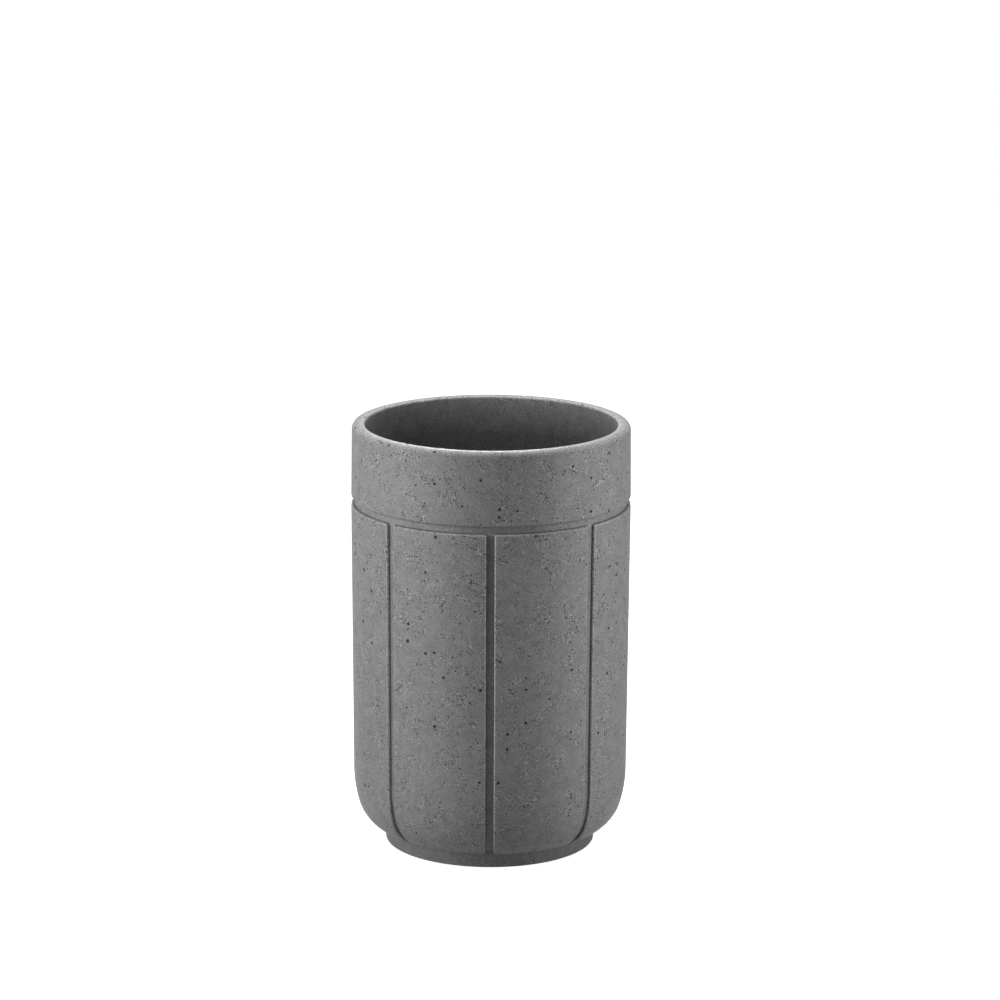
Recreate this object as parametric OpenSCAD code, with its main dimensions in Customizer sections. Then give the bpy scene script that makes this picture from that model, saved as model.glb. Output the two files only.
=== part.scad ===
// Bathroom tumbler, cast in one piece, with eight panels between narrow grooves and four non-slip pads.
// Millimetres, +Z up. The origin is on the axis, in the plane that the pads rest on.

/* [Body] */
// Height of the casting, from the foot's base to the rim
body_h = 115.4; // [95:0.1:140]
// Largest outer radius, at the channel under the collar
body_r = 37.5; // [34:0.5:42]
// How much narrower the radius is at the rim
rim_taper = 0.2; // [0:0.05:0.6]
// How much narrower the radius is where the wall runs into the lower corner
wall_taper = 0.5; // [0:0.1:1]

/* [Rim] */
// Width of the wall at the rim
rim_w = 3.5; // [2.8:0.1:4.5]
// Radius of the rim's outer edge
rim_outer_round = 1.5; // [0.5:0.1:1.8]
// Radius of the rim's inner edge
rim_inner_round = 0.3; // [0.2:0.1:0.8]

/* [Collar and grooves] */
// Height of the collar, from the rim to the middle of the channel below it
collar_h = 20.5; // [12:0.5:50]
// Number of grooves, and of panels between them
groove_n = 8; // [4:1:12]
// Width of a groove's floor
groove_w = 2.2; // [1.6:0.1:3]
// Depth of a groove
groove_d = 1; // [0.7:0.05:1.4]
// Radius of the soft lips along a groove
lip_r = 0.6; // [0.3:0.05:0.65]
// Height of the lips' crown over the wall, which the wall cuts off
lip_crown = 0.05; // [0.02:0.01:0.1]

/* [Lower corner] */
// Height at which the wall starts to curve in
corner_z = 20.4; // [19.5:0.1:24]
// Radius of the gentle arc that leads into the corner
lead_r = 34; // [28:1:36]
// Angle that the gentle arc turns through
lead_turn = 16; // [10:0.5:20]
// Radius of the tight arc that runs on to the foot
corner_r = 10.5; // [8:0.1:12]

/* [Foot] */
// How far the foot's face stands in from the wall above the corner
foot_inset = 8.7; // [6:0.1:10.5]
// Radius of the foot's lower edge
foot_round = 0.4; // [0.2:0.1:0.8]
// Width of the foot's ring, round the recessed underside
foot_ring_w = 3.2; // [2.5:0.1:6]
// Depth of the recess in the underside
recess_d = 1; // [0.6:0.1:1.4]
// Radius of the recess's inner edge
recess_round = 0.5; // [0.2:0.1:0.6]

/* [Bowl] */
// Thickness of the bottom, from the foot's base to the bowl's floor
bottom_t = 8.5; // [7.5:0.5:12]
// How much narrower the bowl is above its rounded corner than at the rim
bowl_taper = 1; // [0:0.1:3]
// Radius of the bowl's corner
bowl_corner_r = 9; // [6:0.5:14]

/* [Pads] */
// Radius of a pad
pad_r = 4.5; // [3:0.1:6]
// Thickness of a pad
pad_t = 1.6; // [1.5:0.1:2.5]
// Radius of a pad's lower edge
pad_round = 0.4; // [0.2:0.1:0.6]
// Distance from a pad's side to the edge of the recess
pad_margin = 2.1; // [0.8:0.1:4]

/* [Hidden] */
$fn = 96;

// How far a cut runs past the surface that it opens
overrun = 2;
// How far a groove's upper stretch runs on into the next one
lap = 0.5;
// How much wider and deeper each next stretch is, so that no two stretches share a face
ease = 0.02;

// The body's base stands this high on its pads
stand_h = pad_t - recess_d;
channel_z = body_h - collar_h;
rim_r = body_r - rim_taper;
bowl_r = rim_r - rim_w;
bowl_low_r = bowl_r - bowl_taper;

// The wall's outer line, from the corner up to the channel
wall_low_r = body_r - wall_taper;
wall_lean = atan2(wall_taper, channel_z - corner_z);
wall_l = norm([wall_taper, channel_z - corner_z]);

// Centres of the two arcs of the lower corner, which touch where their rays point down by lead_turn
lead_c = [wall_low_r - lead_r, corner_z];
corner_c = lead_c + (lead_r - corner_r) * fall(lead_turn);
corner_low_z = corner_c[1] - corner_r;

foot_r = wall_low_r - foot_inset;
recess_r = foot_r - foot_ring_w;
pad_place_r = recess_r - pad_margin - pad_r;

// Angle at which the grooves' lowest stretch ends, inside the foot
groove_end = 88;
// Height at which the grooves' floors run into the foot's face
groove_end_z = corner_c[1] - sqrt(pow(corner_r - groove_d - 2 * ease, 2) - pow(foot_r - corner_c[0], 2));
// The foot reaches up inside the body, past the ends of the grooves and short of the bowl
foot_top_z = (groove_end_z + bottom_t) / 2;

// Direction that is turned down by an angle from the horizontal
function fall(a) = [cos(a), -sin(a)];

// Four-sided patch that covers an arc from one ray to another
module arc_patch(centre, r, a0, a1) {
    polygon([
        centre + (r - overrun) * fall(a0),
        centre + (r + overrun) * fall(a0),
        centre + (r + overrun) * fall(a1),
        centre + (r - overrun) * fall(a1)
    ]);
}

// Half section of the solid casting, without its foot
module casting_section() {
    // Gentle arc
    intersection() {
        translate(lead_c) circle(lead_r);
        arc_patch(lead_c, lead_r, 0, lead_turn);
    }
    // Tight arc
    translate(corner_c) circle(corner_r);
    // Round outer edge of the rim
    translate([rim_r - rim_outer_round, body_h - rim_outer_round]) circle(rim_outer_round);
    // What lies inside the arcs
    polygon([
        [0, corner_low_z],
        [corner_c[0], corner_low_z],
        corner_c + corner_r * fall(lead_turn),
        [wall_low_r, corner_z],
        [body_r, channel_z],
        [rim_r, body_h - rim_outer_round],
        [rim_r - rim_outer_round, body_h],
        [0, body_h]
    ]);
}

// Section of a groove, wider and deeper by grow. X is outward from the wall, Y runs across the groove.
module groove_section(grow) {
    half_w = groove_w / 2 + grow;
    depth = groove_d + grow;
    lip_v = lip_crown - lip_r;
    translate([-depth, -half_w]) square([depth + overrun, 2 * half_w]);
    difference() {
        translate([lip_v, -half_w - lip_r]) square([overrun - lip_v, 2 * (half_w + lip_r)]);
        for (side = [-1, 1]) translate([lip_v, side * (half_w + lip_r)]) circle(lip_r);
    }
}

// One upright groove at azimuth 0, in three stretches: wall, gentle arc, tight arc.
// Each one runs on by lap past its lower end, and the next one starts half a lap below that end.
// The first one's top lies inside the channel.
module upright_groove() {
    lead_lap = lap / lead_r * 180 / PI;
    corner_lap = lap / corner_r * 180 / PI;
    translate([wall_low_r, 0, corner_z]) rotate([0, wall_lean, 0]) translate([0, 0, -lap])
        linear_extrude(wall_l) groove_section(0);
    groove_arc(lead_c, lead_r, lead_lap / 2, lead_turn + lead_lap, ease);
    groove_arc(corner_c, corner_r, lead_turn + corner_lap / 2, groove_end, 2 * ease);
}

// Stretch of a groove round an arc of the section, from one angle to another
module groove_arc(centre, r, a0, a1, grow) {
    translate([centre[0], 0, centre[1]]) rotate([-90, 0, 0])
        rotate_extrude(angle = a1 - a0, start = a0) translate([r, 0]) groove_section(grow);
}

// Half section of the foot
module foot_section() {
    square([foot_r - foot_round, foot_top_z]);
    translate([0, foot_round]) square([foot_r, foot_top_z - foot_round]);
    translate([foot_r - foot_round, foot_round]) circle(foot_round);
}

// Half section of the bowl, cut open past the rim
module bowl_section() {
    corner = [bowl_low_r - bowl_corner_r, bottom_t + bowl_corner_r];
    edge = [bowl_r + rim_inner_round, body_h - rim_inner_round];
    translate(corner) circle(bowl_corner_r);
    polygon([
        [0, bottom_t],
        [corner[0], bottom_t],
        [bowl_low_r, corner[1]],
        [bowl_r, edge[1]],
        [bowl_r, body_h + overrun],
        [0, body_h + overrun]
    ]);
    // Rounded inner edge of the rim
    difference() {
        translate([0, edge[1]]) square([edge[0], rim_inner_round + overrun]);
        translate(edge) circle(rim_inner_round);
    }
}

// Half section of the recess under the foot
module recess_section() {
    translate([0, -overrun]) square([recess_r, overrun + recess_d - recess_round]);
    translate([0, -overrun]) square([recess_r - recess_round, overrun + recess_d]);
    translate([recess_r - recess_round, recess_d - recess_round]) circle(recess_round);
}

// The turned shapes start in the middle of a panel, and one groove faces the front
module cast_body() {
    panel_turn = 360 / groove_n;
    color([0.42, 0.42, 0.42]) translate([0, 0, stand_h]) rotate([0, 0, -90 - panel_turn / 2]) difference() {
        union() {
            difference() {
                rotate_extrude() casting_section();
                rotate_extrude() translate([body_r, channel_z]) groove_section(ease);
                for (i = [0 : groove_n - 1]) rotate([0, 0, (i + 0.5) * panel_turn]) upright_groove();
            }
            rotate_extrude() foot_section();
        }
        rotate_extrude() bowl_section();
        rotate_extrude() recess_section();
    }
}

// Half section of a pad
module pad_section() {
    square([pad_r - pad_round, pad_t]);
    translate([0, pad_round]) square([pad_r, pad_t - pad_round]);
    translate([pad_r - pad_round, pad_round]) circle(pad_round);
}

// One pad, glued to the recess at an azimuth
module pad(azimuth) {
    color([0.1, 0.1, 0.1]) rotate([0, 0, azimuth]) translate([pad_place_r, 0, 0])
        rotate_extrude() pad_section();
}

cast_body();
pad(45);  // pad_right_rear
pad(135);  // pad_left_rear
pad(225);  // pad_left_front
pad(315);  // pad_right_front
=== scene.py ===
# Bathroom tumbler cast in one piece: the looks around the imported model.
# The frame is in metres, +Z up, and the front groove faces -Y. Sizes of the casting are in millimetres, as
# in the part's source, and MM turns them into metres when the mesh is made.
import math
from collections import namedtuple
from types import SimpleNamespace

import bmesh
import bpy
from mathutils import Matrix, Vector


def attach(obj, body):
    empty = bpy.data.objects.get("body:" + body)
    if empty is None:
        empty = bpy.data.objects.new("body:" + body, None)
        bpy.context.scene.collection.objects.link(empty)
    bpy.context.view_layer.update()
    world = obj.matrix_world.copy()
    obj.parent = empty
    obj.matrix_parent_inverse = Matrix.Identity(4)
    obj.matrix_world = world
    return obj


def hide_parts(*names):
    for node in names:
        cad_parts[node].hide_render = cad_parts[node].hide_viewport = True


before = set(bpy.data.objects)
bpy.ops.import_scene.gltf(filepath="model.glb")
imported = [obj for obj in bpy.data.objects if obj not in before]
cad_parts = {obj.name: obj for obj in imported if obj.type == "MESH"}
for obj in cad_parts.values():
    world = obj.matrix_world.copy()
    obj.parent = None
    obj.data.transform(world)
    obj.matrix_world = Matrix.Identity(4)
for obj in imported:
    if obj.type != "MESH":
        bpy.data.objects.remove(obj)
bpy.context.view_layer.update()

MM = 0.001

# The casting's outline. Heights are over the foot's base, which stands STAND_H over the floor.
BODY_H = 115.4
BODY_R = 37.5
RIM_R = 37.3
WALL_LOW_R = 37.0
RIM_OUTER_ROUND = 1.5
RIM_INNER_ROUND = 0.7
BOWL_R = 33.8
BOWL_LOW_R = 32.8
BOWL_FLOOR = 8.5
BOWL_CORNER_R = 9.0
FOOT_R = 28.3
FOOT_ROUND = 0.4
RECESS_R = 25.1
RECESS_D = 1.0
RECESS_ROUND = 0.5
STAND_H = 0.6

# Channel and grooves. LIP_W and LIP_D are the width and depth of a groove's soft lip.
CHANNEL_Z = 94.65
GROOVES = 8
GROOVE_HALF_W = 1.1
GROOVE_D = 1.0
LIP_W = 0.42
LIP_D = 0.5
FLOOR_ROUND = 0.12

# Lower corner: a gentle arc and a tight one
CORNER_Z = 20.4
LEAD_R = 34.0
LEAD_TURN = math.radians(16)
CORNER_R = 10.5
LEAD_C = (WALL_LOW_R - LEAD_R, CORNER_Z)
CORNER_C = (
    LEAD_C[0] + (LEAD_R - CORNER_R) * math.cos(LEAD_TURN),
    LEAD_C[1] - (LEAD_R - CORNER_R) * math.sin(LEAD_TURN),
)

# Width of the painted shade along both corners of a groove's floor
CORNER_SHADE_W = 0.18
# Marks on the stone, from 0 to 1: painted shade on a groove's floor, wear with a painted pale highlight on
# the lips and the rim, and pores
FLOOR_PAINTED_SHADE = 0.25
LIP_WEAR_AND_HIGHLIGHT = 0.45
RIM_WEAR_AND_HIGHLIGHT = 0.8
BOWL_PORED = 0.3
FOOT_PORED = 0.25
GROOVE_PORE_LOSS = 0.9
# How much painted shade darkens the bowl at the rim, and the depth in which that grows by 1
BOWL_SHADE_LEAST = 0.05
BOWL_SHADE_FADE = 11.0

# Mesh spacing, and steps of the round stretches
PANEL_COLUMNS = 34
WALL_STEP = 1.0
BOWL_STEP = 2.4
RIM_STEP = 0.5
FOOT_STEP = 1.0
RECESS_STEP = 2.5
GROOVE_FLOOR_STEP = 0.65
LIP_STEPS = 5
FLOOR_ROUND_STEPS = 2
BOWL_CORNER_STEPS = 12
RIM_INNER_STEPS = 6
RIM_OUTER_STEPS = 10
FOOT_ROUND_STEPS = 4
LEAD_STEPS = 10
CORNER_STEPS = 14
FOOT_SHARES = (0.03, 0.25, 0.5, 0.75, 1.0)

# Points closer than MERGE_DIST are joined and faces thinner than THIN_DIST are dropped, both in metres.
# Edges that turn by more than SHARP_ANGLE are shaded sharp.
MERGE_DIST = 2e-6
THIN_DIST = 1e-7
SHARP_ANGLE = math.radians(38)


def spread(start, end, step, both=True):
    """Evenly spaced values from start to end, about step apart. Without both, start is left out."""
    count = max(1, round(abs(end - start) / step))
    first = 0 if both else 1
    return [start + (end - start) * i / count for i in range(first, count + 1)]


def quarter(count):
    """Angles from 0 to a quarter turn, in count steps."""
    return [math.pi / 2 * i / count for i in range(count + 1)]


def groove_section():
    """Across a groove, from one panel's edge to the next: (distance across, depth)."""
    edge = GROOVE_HALF_W + LIP_W
    side = [(edge - LIP_W * math.sin(a), LIP_D * (1 - math.cos(a))) for a in quarter(LIP_STEPS)]
    for a in quarter(FLOOR_ROUND_STEPS):
        across = GROOVE_HALF_W - FLOOR_ROUND * (1 - math.cos(a))
        side.append((across, GROOVE_D - FLOOR_ROUND * (1 - math.sin(a))))
    flat = GROOVE_HALF_W - FLOOR_ROUND - CORNER_SHADE_W
    middle = [(across, GROOVE_D) for across in spread(flat, -flat, GROOVE_FLOOR_STEP)]
    far_side = [(-across, depth) for across, depth in reversed(side)]
    return side + middle + far_side


SECTION = groove_section()
GROOVE_EDGE = SECTION[0][0]


def painted_corner_shade(across, depth, floor):
    """How much painted shade a groove's section has: all of it in its two corners, and floor on the flat
    between.
    """
    if depth <= LIP_D:
        return 0.0
    return 1.0 if abs(across) > GROOVE_HALF_W - FLOOR_ROUND - CORNER_SHADE_W / 2 else floor


def wall_r(z):
    """Radius of the outer wall between the lower corner and the channel, and of the collar above."""
    if z > CHANNEL_Z:
        top = BODY_H - RIM_OUTER_ROUND
        return BODY_R + (RIM_R - BODY_R) * (z - CHANNEL_Z) / (top - CHANNEL_Z)
    return WALL_LOW_R + (BODY_R - WALL_LOW_R) * (z - CORNER_Z) / (CHANNEL_Z - CORNER_Z)


class Row:
    """One ring of the mesh. place(depth) gives (radius, height) at a groove's depth.

    depth is the ring's own depth in the channel. The upright grooves cut a grooved ring, and leave their
    worn lips with a painted pale highlight and their corners' painted shade on a marked one. The ring's
    marks for the material are how pored it is, its wear with a painted pale highlight, painted shade in the
    bowl and painted shade in the creases.
    """

    def __init__(self, place, depth=0.0, grooved=False, pored=1.0, wear_and_highlight=0.0):
        self.place = place
        self.depth = depth
        self.grooved = grooved
        self.marked = grooved
        self.pored = pored
        self.wear_and_highlight = wear_and_highlight
        self.painted_bowl_shade = 0.0
        self.painted_crease_shade = 0.0


def fixed(r, z, pored=1.0, wear_and_highlight=0.0):
    """A ring that no groove cuts."""
    return Row(lambda depth: (r, z), pored=pored, wear_and_highlight=wear_and_highlight)


def shaded_bowl_row(r, z):
    """A ring of the bowl. Its stone is less pored, and painted shade darkens it more the further it lies
    below the rim.
    """
    row = fixed(r, z, BOWL_PORED)
    row.painted_bowl_shade = min(1.0, BOWL_SHADE_LEAST + (BODY_H - z) / BOWL_SHADE_FADE)
    return row


def wall_row(z, depth, grooved):
    """A ring of the outer wall, this deep in the channel or 0 outside it."""
    return Row(lambda depth: (wall_r(z) - depth, z), depth, grooved)


def on_arc(centre, radius, angle):
    """Point of an arc of the outline, at an angle turned down from the horizontal."""
    return centre[0] + radius * math.cos(angle), centre[1] - radius * math.sin(angle)


def lead_row(angle):
    """A ring of the gentle arc."""
    return Row(lambda depth: on_arc(LEAD_C, LEAD_R - depth, angle), grooved=True)


def foot_angle(depth):
    """Angle at which the tight arc, this deep, meets the foot's face."""
    return math.acos((FOOT_R - CORNER_C[0]) / (CORNER_R - depth))


def tight_row(share):
    """A ring this share of the way down the tight arc."""

    def place(depth):
        return on_arc(CORNER_C, CORNER_R - depth, LEAD_TURN + share * (foot_angle(depth) - LEAD_TURN))

    return Row(place, grooved=True)


def foot_row(share):
    """A ring this share of the way down the foot's face. It starts higher up where a groove ends."""

    def place(depth):
        top = on_arc(CORNER_C, CORNER_R - depth, foot_angle(depth))[1]
        return FOOT_R, top + share * (FOOT_ROUND - top)

    row = Row(place, grooved=True, pored=FOOT_PORED)
    row.marked = False
    return row


def bowl_rows():
    """From the middle of the bowl's floor up to the rim."""
    corner = (BOWL_LOW_R - BOWL_CORNER_R, BOWL_FLOOR + BOWL_CORNER_R)
    rows = [shaded_bowl_row(r, BOWL_FLOOR) for r in spread(0, corner[0], BOWL_STEP)[:-1]]
    for a in quarter(BOWL_CORNER_STEPS):
        r = corner[0] + BOWL_CORNER_R * math.sin(a)
        rows.append(shaded_bowl_row(r, corner[1] - BOWL_CORNER_R * math.cos(a)))
    top = BODY_H - RIM_INNER_ROUND
    for z in spread(corner[1], top, BOWL_STEP, both=False)[:-1]:
        r = BOWL_LOW_R + (BOWL_R - BOWL_LOW_R) * (z - corner[1]) / (top - corner[1])
        rows.append(shaded_bowl_row(r, z))
    return rows


def rim_row(r, z, share=1.0):
    """A ring of the rim, worn and painted with a pale highlight along the inner half of its top. share is
    lower down the inner edge.
    """
    outward = (r - BOWL_R) / (RIM_R - BOWL_R)
    return fixed(r, z, wear_and_highlight=RIM_WEAR_AND_HIGHLIGHT * share * (1 - outward) ** 2)


def rim_rows():
    """From the bowl's edge over the rim to the collar."""
    rows = []
    for a in quarter(RIM_INNER_STEPS):
        r = BOWL_R + RIM_INNER_ROUND * (1 - math.cos(a))
        rows.append(rim_row(r, BODY_H - RIM_INNER_ROUND * (1 - math.sin(a)), math.sin(a)))
    inner = BOWL_R + RIM_INNER_ROUND
    outer = RIM_R - RIM_OUTER_ROUND
    rows += [rim_row(r, BODY_H) for r in spread(inner, outer, RIM_STEP)[1:-1]]
    for a in quarter(RIM_OUTER_STEPS):
        r = outer + RIM_OUTER_ROUND * math.sin(a)
        rows.append(rim_row(r, BODY_H - RIM_OUTER_ROUND * (1 - math.cos(a))))
    return rows


def channel_rows():
    """Across the channel under the collar. The upright grooves come up into its floor."""
    rows = []
    for across, depth in SECTION:
        row = wall_row(CHANNEL_Z + across, depth, across < GROOVE_HALF_W / 2)
        # Wear and a painted pale highlight along the channel's lower lip
        row.wear_and_highlight = LIP_WEAR_AND_HIGHLIGHT if across < 0 and 0 < depth < LIP_D else 0.0
        # Painted shade in the channel's two corners
        row.painted_crease_shade = painted_corner_shade(across, depth, 0.0)
        rows.append(row)
    return rows


def wall_rows():
    """From the rim down the collar, the channel and the panels to the lower corner."""
    collar = spread(BODY_H - RIM_OUTER_ROUND, CHANNEL_Z + GROOVE_EDGE, WALL_STEP, both=False)[:-1]
    panels = spread(CHANNEL_Z - GROOVE_EDGE, CORNER_Z, WALL_STEP, both=False)
    rows = [wall_row(z, 0.0, False) for z in collar]
    rows += channel_rows()
    rows += [wall_row(z, 0.0, True) for z in panels]
    return rows


def corner_rows():
    """Round the two arcs of the lower corner."""
    rows = [lead_row(LEAD_TURN * i / LEAD_STEPS) for i in range(1, LEAD_STEPS + 1)]
    rows += [tight_row(i / CORNER_STEPS) for i in range(1, CORNER_STEPS + 1)]
    return rows


def foot_rows():
    """Down the foot's face, under its ring and over the recess to the middle of the underside."""
    rows = [foot_row(share) for share in FOOT_SHARES]
    for a in quarter(FOOT_ROUND_STEPS)[1:]:
        r = FOOT_R - FOOT_ROUND * (1 - math.cos(a))
        rows.append(fixed(r, FOOT_ROUND * (1 - math.sin(a)), FOOT_PORED))
    ring = spread(FOOT_R - FOOT_ROUND, RECESS_R, FOOT_STEP, both=False)
    rows += [fixed(r, 0.0, FOOT_PORED) for r in ring]
    for a in quarter(FOOT_ROUND_STEPS):
        r = RECESS_R - RECESS_ROUND * (1 - math.cos(a))
        rows.append(fixed(r, RECESS_D - RECESS_ROUND * (1 - math.sin(a)), FOOT_PORED))
    recess = spread(RECESS_R - RECESS_ROUND, 0, RECESS_STEP, both=False)
    rows += [fixed(r, RECESS_D, FOOT_PORED) for r in recess]
    return rows


# A column round the casting. In a groove it has a distance across and a depth, and on the panel that follows
# the groove it has its share of the panel.
Column = namedtuple("Column", "groove across depth share")


def columns():
    """Every column round the casting, from the front groove on."""
    made = []
    for groove in range(GROOVES):
        made += [Column(groove, -across, depth, None) for across, depth in SECTION]
        made += [Column(groove, 0.0, 0.0, i / PANEL_COLUMNS) for i in range(1, PANEL_COLUMNS)]
    return made


def column_angle(column, radius):
    """Where a column lies at this radius, as an angle from the groove at the front."""
    step = 2 * math.pi / GROOVES
    if column.share is None:
        return column.groove * step + math.asin(column.across / radius)
    edge = math.asin(GROOVE_EDGE / radius)
    return column.groove * step + edge + column.share * (step - 2 * edge)


def vertex(row, column, depth):
    """Where a ring and a column cross, in metres."""
    r, z = row.place(depth)
    angle = column_angle(column, r if row.grooved else BODY_R) - math.pi / 2
    return r * math.cos(angle) * MM, r * math.sin(angle) * MM, (z + STAND_H) * MM


# The marks: how pored the stone is, its wear with a painted pale highlight, painted shade in the bowl, and
# painted shade in the corners of grooves and channel and on the grooves' floors
MARKS = ("pored", "wear_and_highlight", "painted_bowl_shade", "painted_crease_shade")


def mark_values(row, column, depth):
    """The MARKS where a ring and a column cross."""
    pored = row.pored * (1 - GROOVE_PORE_LOSS * depth / GROOVE_D)
    # Wear and a painted pale highlight on a groove's lips
    on_lip = row.marked and row.depth < column.depth < LIP_D
    wear_and_highlight = max(row.wear_and_highlight, LIP_WEAR_AND_HIGHLIGHT if on_lip else 0.0)
    # Painted shade along the channel's corners, and along the grooves' corners and floors
    along_row = row.painted_crease_shade * (1 - column.depth / GROOVE_D) if row.grooved else row.painted_crease_shade
    along_column = painted_corner_shade(column.across, column.depth, FLOOR_PAINTED_SHADE) if row.marked else 0.0
    painted_crease_shade = max(along_row, along_column * (1 - row.depth / GROOVE_D))
    return pored, wear_and_highlight, row.painted_bowl_shade, painted_crease_shade


def ring_faces(rings, around):
    """Four-sided faces between rings of this many points each."""
    faces = []
    for i in range(rings - 1):
        for j in range(around):
            k = (j + 1) % around
            faces.append((i * around + j, i * around + k, (i + 1) * around + k, (i + 1) * around + j))
    return faces


def clean_mesh(mesh):
    """Joins the points that fall together, drops the faces without area and turns the rest outward."""
    bm = bmesh.new()
    bm.from_mesh(mesh)
    bmesh.ops.remove_doubles(bm, verts=bm.verts, dist=MERGE_DIST)
    bmesh.ops.dissolve_degenerate(bm, edges=bm.edges, dist=THIN_DIST)
    bmesh.ops.recalc_face_normals(bm, faces=bm.faces)
    bm.to_mesh(mesh)
    bm.free()


def casting_mesh():
    """The casting as rings of vertices from the bowl's floor, over the rim and down to the underside."""
    rows = bowl_rows() + rim_rows() + wall_rows() + corner_rows() + foot_rows()
    around = columns()
    verts = []
    marks = []
    for row in rows:
        for column in around:
            depth = max(row.depth, column.depth) if row.grooved else row.depth
            verts.append(vertex(row, column, depth))
            marks.append(mark_values(row, column, depth))
    mesh = bpy.data.meshes.new("tumbler_casting")
    mesh.from_pydata(verts, [], ring_faces(len(rows), len(around)))
    for name, values in zip(MARKS, zip(*marks)):
        mesh.attributes.new(name, "FLOAT", "POINT").data.foreach_set("value", values)
    clean_mesh(mesh)
    mesh.shade_smooth()
    mesh.set_sharp_from_angle(angle=SHARP_ANGLE)
    return mesh


def node(tree, kind, links=(), **settings):
    """A shader node. links gives the input name or index and what feeds it: a socket or a plain value."""
    made = tree.nodes.new(kind)
    for name, value in settings.items():
        setattr(made, name, value)
    for name, value in links:
        if isinstance(value, bpy.types.NodeSocket):
            tree.links.new(value, made.inputs[name])
        else:
            made.inputs[name].default_value = value
    return made


def maths(tree, operation, first, second=0.0, clamp=False):
    """An arithmetic operation on two sockets or values."""
    made = node(tree, "ShaderNodeMath", [(0, first), (1, second)], operation=operation, use_clamp=clamp)
    return made.outputs[0]


def blend(tree, share, low, high, start=0.0, end=1.0):
    """From low to high as share goes from start to end."""
    links = [("Value", share), ("From Min", start), ("From Max", end), ("To Min", low), ("To Max", high)]
    return node(tree, "ShaderNodeMapRange", links).outputs[0]


def new_material(name):
    material = bpy.data.materials.new(name)
    material.use_nodes = True
    tree = material.node_tree
    shader = tree.nodes["Principled BSDF"]
    coords = node(tree, "ShaderNodeTexCoord").outputs["Object"]
    return material, tree, shader, coords


def add_grey(tree, shader, shade):
    """Feeds the shader's colour with a grey."""
    colour = node(tree, "ShaderNodeCombineColor", [(0, shade), (1, shade), (2, shade)]).outputs[0]
    tree.links.new(colour, shader.inputs["Base Color"])


def add_relief(tree, shader, height):
    """Feeds the shader's normal with a fine relief, its height in metres."""
    bump = node(tree, "ShaderNodeBump", [("Height", height), ("Strength", 1.0), ("Distance", 1.0)])
    tree.links.new(bump.outputs[0], shader.inputs["Normal"])


def noise_value(tree, coords, size, detail):
    """Noise from 0 to 1, about NOISE_MIDDLE, whose features are about size millimetres across."""
    links = [("Vector", coords), ("Scale", 1 / (size * MM)), ("Detail", detail)]
    return node(tree, "ShaderNodeTexNoise", links).outputs["Fac"]


# Greys of the stone, of its pits and of the painted highlight on worn edges, as linear values
STONE_LIGHT = 0.43
STONE_DARK = 0.16
GRAIN_LIGHT = 0.62
PORE_DARK = 0.035
PAINTED_HIGHLIGHT_GREY = 0.86
# What is left of the stone's grey under the painted shade in the bowl and in a crease
BOWL_SHADE_SHARE = 0.39
CREASE_SHADE_SHARE = 0.47
# How much the patches, the pale grains and the fine pits show
PATCH_SHARE = 0.3
GRAIN_SHARE = 0.9
FINE_SHARE = 0.8

ROUGH_LOW = 0.54
ROUGH_HIGH = 0.66
ROUGH_WORN = 0.68
GLOSS_LEVEL = 0.18

# Sizes of the noises in millimetres, each with its levels of detail
SAND = (0.36, 3.0)
PATCHES = (3.0, 4.0)
CLUSTERS = (4.0, 2.0)
SHAKE = (0.5, 1.0)
SHAKE_BY = 0.4
# What the noises are spread from, and the factors that the clusters of grains and pits are spread to
NOISE_MIDDLE = 0.5
CLUSTER_NOISE = (0.35, 0.65)
CLUSTER_FACTORS = (0.5, 1.4)
# The range of the sand over which the painted highlight on worn edges breaks up
HIGHLIGHT_SAND_NOISE = (0.35, 0.6)
ROUGH_NOISE = (0.3, 0.7)
SHADE_SPAN = 0.25

# Cells that may each hold a pit or a grain: the cell's size, the largest radius and the soft edge in
# millimetres, and the share of the cells that hold one
Cells = namedtuple("Cells", "size radius soft kept")
FINE_PITS = Cells(0.6, 0.22, 0.06, 0.6)
PALE_GRAINS = Cells(0.62, 0.2, 0.06, 0.5)
MEDIUM_PITS = Cells(1.3, 0.3, 0.1, 0.2)
LARGE_PORES = Cells(2.4, 0.55, 0.12, 0.27)
# The lower the power, the more of the pits are nearly as large as the largest
PIT_SIZE_POWER = 0.6

# Relief in millimetres
PIT_D = 0.08
PORE_D = 0.25
SAND_H = 0.045
WORN_SAND_H = 0.11
GRAIN_H = 0.03


def ragged_coords(tree, coords):
    """Coordinates shaken a little, so that pits and grains get ragged edges."""
    size, detail = SHAKE
    links = [("Vector", coords), ("Scale", 1 / (size * MM)), ("Detail", detail)]
    shake = node(tree, "ShaderNodeTexNoise", links).outputs["Color"]
    links = [(0, shake), (1, (NOISE_MIDDLE, NOISE_MIDDLE, NOISE_MIDDLE))]
    centred = node(tree, "ShaderNodeVectorMath", links, operation="SUBTRACT").outputs[0]
    links = [(0, centred), ("Scale", SHAKE_BY * MM)]
    shift = node(tree, "ShaderNodeVectorMath", links, operation="SCALE").outputs[0]
    return node(tree, "ShaderNodeVectorMath", [(0, coords), (1, shift)], operation="ADD").outputs[0]


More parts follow.
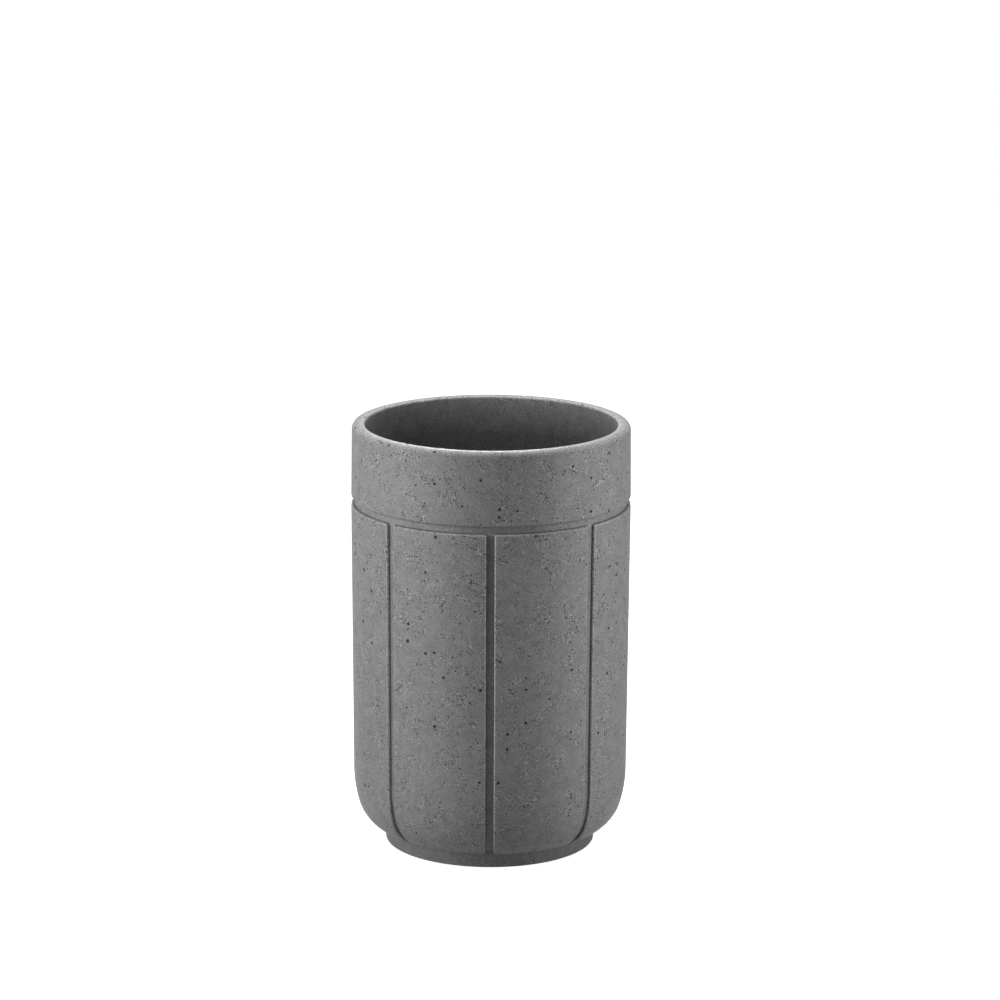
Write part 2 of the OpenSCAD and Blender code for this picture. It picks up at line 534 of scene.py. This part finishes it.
def pits(tree, coords, cells, scale):
    """Round pits or grains, from 0 to 1. scale is a socket that widens or closes them."""
    found = node(tree, "ShaderNodeTexVoronoi", [("Vector", coords), ("Scale", 1 / (cells.size * MM))])
    chance = node(tree, "ShaderNodeSeparateColor", [(0, found.outputs["Color"])]).outputs[0]
    rank = maths(tree, "DIVIDE", maths(tree, "SUBTRACT", chance, 1 - cells.kept), cells.kept, clamp=True)
    size = maths(tree, "MULTIPLY", maths(tree, "POWER", rank, PIT_SIZE_POWER), scale)
    radius = maths(tree, "MULTIPLY", size, cells.radius / cells.size)
    depth = maths(tree, "SUBTRACT", radius, found.outputs["Distance"])
    return maths(tree, "DIVIDE", depth, cells.soft / cells.size, clamp=True)


def mark(tree, name):
    """One of the MARKS of the casting's mesh."""
    return node(tree, "ShaderNodeAttribute", attribute_name=name).outputs["Fac"]


def stone_features(tree, coords):
    """Sockets for what is seen in the stone: the clusters' factor, and the rest from 0 to 1."""
    pored = mark(tree, "pored")
    ragged = ragged_coords(tree, coords)
    clusters = blend(tree, noise_value(tree, coords, *CLUSTERS), *CLUSTER_FACTORS, *CLUSTER_NOISE)
    sparse = maths(tree, "MULTIPLY", clusters, pored)
    return SimpleNamespace(
        clusters=clusters,
        fine=pits(tree, ragged, FINE_PITS, sparse),
        grains=pits(tree, ragged, PALE_GRAINS, sparse),
        medium=pits(tree, ragged, MEDIUM_PITS, sparse),
        large=pits(tree, ragged, LARGE_PORES, pored),
        sand=noise_value(tree, coords, *SAND),
        patches=noise_value(tree, coords, *PATCHES),
        wear_and_highlight=mark(tree, "wear_and_highlight"),
    )


def stone_shade(tree, stone):
    """The stone's grey: sand, patches, pale grains, a painted highlight on worn edges, painted shade in the
    bowl and in creases, and pits.
    """
    sanded = maths(tree, "MULTIPLY", maths(tree, "SUBTRACT", stone.sand, NOISE_MIDDLE), stone.clusters)
    patched = maths(tree, "MULTIPLY", maths(tree, "SUBTRACT", stone.patches, NOISE_MIDDLE), PATCH_SHARE)
    mottled = maths(tree, "ADD", sanded, patched)
    shade = blend(tree, mottled, STONE_DARK, STONE_LIGHT, -SHADE_SPAN, SHADE_SPAN)
    shade = blend(tree, maths(tree, "MULTIPLY", stone.grains, GRAIN_SHARE), shade, GRAIN_LIGHT)
    # Painted highlight: worn edges paler, broken up by the sand
    highlight_sand = blend(tree, stone.sand, 0.0, 1.0, *HIGHLIGHT_SAND_NOISE)
    shade = blend(tree, maths(tree, "MULTIPLY", stone.wear_and_highlight, highlight_sand), shade, PAINTED_HIGHLIGHT_GREY)
    # Painted shade: the bowl darker further down, and the corners of grooves and channel and the grooves'
    # floors darker
    for name, share in (("painted_bowl_shade", BOWL_SHADE_SHARE), ("painted_crease_shade", CREASE_SHADE_SHARE)):
        shade = maths(tree, "MULTIPLY", shade, blend(tree, mark(tree, name), 1.0, share))
    wide = maths(tree, "MAXIMUM", stone.medium, stone.large)
    dark = maths(tree, "MAXIMUM", maths(tree, "MULTIPLY", stone.fine, FINE_SHARE), wide)
    return blend(tree, dark, shade, PORE_DARK)


def stone_relief(tree, stone):
    """Height of the stone's fine relief, in metres."""
    pitted = maths(tree, "MULTIPLY", maths(tree, "MAXIMUM", stone.medium, stone.fine), -PIT_D * MM)
    sunk = maths(tree, "ADD", pitted, maths(tree, "MULTIPLY", stone.large, -PORE_D * MM))
    sandy = maths(tree, "MULTIPLY", stone.sand, blend(tree, stone.wear_and_highlight, SAND_H * MM, WORN_SAND_H * MM))
    raised = maths(tree, "ADD", sandy, maths(tree, "MULTIPLY", stone.grains, GRAIN_H * MM))
    return maths(tree, "ADD", sunk, raised)


def stone_material():
    """Cast stone: an even grey with a sandy grain, pin-prick pits, pale grains and a few larger pores."""
    material, tree, shader, coords = new_material("cast_stone")
    stone = stone_features(tree, coords)
    add_grey(tree, shader, stone_shade(tree, stone))
    add_relief(tree, shader, stone_relief(tree, stone))
    rough = blend(tree, stone.wear_and_highlight, blend(tree, stone.sand, ROUGH_LOW, ROUGH_HIGH, *ROUGH_NOISE), ROUGH_WORN)
    tree.links.new(rough, shader.inputs["Roughness"])
    shader.inputs["Specular IOR Level"].default_value = GLOSS_LEVEL
    return material


RUBBER_GRAIN = (0.3, 3.0)
RUBBER_DARK = 0.022
RUBBER_LIGHT = 0.04
RUBBER_ROUGH = 0.75
RUBBER_GRAIN_H = 0.03


def rubber_material():
    """Dark matt rubber with a fine moulded grain."""
    material, tree, shader, coords = new_material("pad_rubber")
    grain = noise_value(tree, coords, *RUBBER_GRAIN)
    add_grey(tree, shader, blend(tree, grain, RUBBER_DARK, RUBBER_LIGHT, *ROUGH_NOISE))
    add_relief(tree, shader, maths(tree, "MULTIPLY", grain, RUBBER_GRAIN_H * MM))
    shader.inputs["Roughness"].default_value = RUBBER_ROUGH
    return material


def add_casting():
    casting = bpy.data.objects.new("tumbler_casting", casting_mesh())
    bpy.context.collection.objects.link(casting)
    casting.data.materials.append(stone_material())
    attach(casting, "root")
    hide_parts("cast_body")


def dress_pads():
    rubber = rubber_material()
    for name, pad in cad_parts.items():
        if name.startswith("pad_"):
            for slot in pad.material_slots:
                slot.material = rubber


# Camera: the photograph's frame is 1000 pixels wide
FRAME_PX = 1000
FOCAL_PX = 4155.6
SENSOR_MM = 36.0
PITCH = math.radians(13.404)
ROLL = math.radians(-0.266)
DISTANCE = 1.1236
AXIS_PX = (490.48, 631.01)
AIM_Z = (STAND_H + BODY_H / 2) * MM
CLIP_START = 0.05
CLIP_END = 20


def add_camera():
    """The camera looks down by PITCH and shows the axis at half the casting's height at AXIS_PX."""
    forward = Vector((0, math.cos(PITCH), -math.sin(PITCH)))
    level = Vector((1, 0, 0))
    plumb = Vector((0, -math.sin(PITCH), -math.cos(PITCH)))
    right = math.cos(ROLL) * level + math.sin(ROLL) * plumb
    down = math.cos(ROLL) * plumb - math.sin(ROLL) * level
    across = (AXIS_PX[0] - FRAME_PX / 2) / FOCAL_PX
    below = (AXIS_PX[1] - FRAME_PX / 2) / FOCAL_PX
    ray = (forward + across * right + below * down).normalized()
    place = Vector((0, 0, AIM_Z)) - DISTANCE * ray
    data = bpy.data.cameras.new("camera")
    data.sensor_width = SENSOR_MM
    data.sensor_fit = "HORIZONTAL"
    data.lens = FOCAL_PX * SENSOR_MM / FRAME_PX
    data.clip_start = CLIP_START
    data.clip_end = CLIP_END
    camera = bpy.data.objects.new("camera", data)
    bpy.context.collection.objects.link(camera)
    turn = Matrix((right, -down, -forward)).transposed().to_4x4()
    camera.matrix_world = Matrix.Translation(place) @ turn
    bpy.context.scene.camera = camera


# The floor's width, its grey for the light that it throws back, and its grey and glow where it is seen
FLOOR_SIZE = 2.0
FLOOR_GREY = 0.4
FLOOR_SEEN = 0.8
FLOOR_GLOW = 0.97


def background_rays(tree):
    """1 for the rays that see the white background: the camera's, and those of gloss and glass."""
    path = node(tree, "ShaderNodeLightPath").outputs
    seen = maths(tree, "ADD", path["Is Camera Ray"], path["Is Glossy Ray"])
    return maths(tree, "ADD", seen, path["Is Transmission Ray"], clamp=True)


def matt_grey(tree, shade):
    return node(tree, "ShaderNodeBsdfDiffuse", [("Color", (shade, shade, shade, 1))]).outputs[0]


def floor_material():
    """Shows white, but for the object's shadow, and throws back little light."""
    material = bpy.data.materials.new("floor")
    material.use_nodes = True
    tree = material.node_tree
    tree.nodes.clear()
    glow = node(tree, "ShaderNodeEmission", [("Strength", FLOOR_GLOW)]).outputs[0]
    white = node(tree, "ShaderNodeAddShader", [(0, matt_grey(tree, FLOOR_SEEN)), (1, glow)]).outputs[0]
    links = [(0, background_rays(tree)), (1, matt_grey(tree, FLOOR_GREY)), (2, white)]
    mix = node(tree, "ShaderNodeMixShader", links).outputs[0]
    node(tree, "ShaderNodeOutputMaterial", [(0, mix)])
    return material


def add_floor():
    mesh = bpy.data.meshes.new("floor")
    half = FLOOR_SIZE / 2
    corners = [(-half, -half, 0), (half, -half, 0), (half, half, 0), (-half, half, 0)]
    mesh.from_pydata(corners, [], [(0, 1, 2, 3)])
    floor = bpy.data.objects.new("floor", mesh)
    bpy.context.collection.objects.link(floor)
    mesh.materials.append(floor_material())


def add_world():
    """White for the rays that see the background, and no light from it on the object."""
    world = bpy.data.worlds.new("world")
    bpy.context.scene.world = world
    world.use_nodes = True
    tree = world.node_tree
    tree.nodes.clear()
    links = [("Color", (1, 1, 1, 1)), ("Strength", background_rays(tree))]
    sky = node(tree, "ShaderNodeBackground", links).outputs[0]
    node(tree, "ShaderNodeOutputWorld", [(0, sky)])


# Kinds of soft box: distance from LAMP_AIM, width and height
SoftBox = namedtuple("SoftBox", "distance width height")
HIGH_BOX = SoftBox(0.7, 0.24, 0.3)
TALL_BOX = SoftBox(0.7, 0.2, 0.4)
NEAR_BOX = SoftBox(0.17, 0.03, 0.06)
STRIP = SoftBox(0.075, 0.012, 0.16)

# Each soft box's azimuth from the camera's side towards the right and elevation, in degrees, kind and watts
SOFT_BOXES = {
    "rear_high": (180, 75, HIGH_BOX, 3.9),
    "left": (-75, 15, TALL_BOX, 1.4),
    "left_raised": (-60, 40, NEAR_BOX, 0.052),
    "left_strip": (-40, 0, STRIP, 0.005),
    "front_strip": (-30, 0, STRIP, 0.006),
    "right_strip": (50, 0, STRIP, 0.018),
    "right_front": (50, 40, NEAR_BOX, 0.018),
    "right_raised": (70, 40, NEAR_BOX, 0.027),
    "right_side": (80, 10, NEAR_BOX, 0.002),
}
LAMP_AIM = Vector((0, 0, 0.06))

# A small lamp over the bowl, turned to the front of the rim
RIM_LAMP_PLACE = Vector((-0.005, 0.008, 0.131))
RIM_LAMP_AIM = Vector((-0.006, -0.0345, 0.116))
RIM_LAMP_SIZE = (0.044, 0.008)
RIM_LAMP_WATTS = 0.0036
RIM_LAMP_BEAM = math.radians(80)


def add_lamp(name, place, aim, size, watts):
    data = bpy.data.lights.new(name, "AREA")
    data.shape = "RECTANGLE"
    data.size, data.size_y = size
    data.energy = watts
    lamp = bpy.data.objects.new(name, data)
    bpy.context.collection.objects.link(lamp)
    lamp.location = place
    lamp.rotation_euler = (aim - place).to_track_quat("-Z", "Y").to_euler()
    lamp.visible_camera = False
    return lamp


def add_lamps():
    for name, (azimuth, elevation, box, watts) in SOFT_BOXES.items():
        a = math.radians(azimuth)
        e = math.radians(elevation)
        away = Vector((math.sin(a) * math.cos(e), -math.cos(a) * math.cos(e), math.sin(e)))
        add_lamp(name, LAMP_AIM + box.distance * away, LAMP_AIM, (box.width, box.height), watts)
    rim_lamp = add_lamp("rim_front", RIM_LAMP_PLACE, RIM_LAMP_AIM, RIM_LAMP_SIZE, RIM_LAMP_WATTS)
    rim_lamp.data.spread = RIM_LAMP_BEAM


add_casting()
dress_pads()
add_camera()
add_floor()
add_world()
add_lamps()

bpy.context.scene.view_settings.view_transform = "Standard"
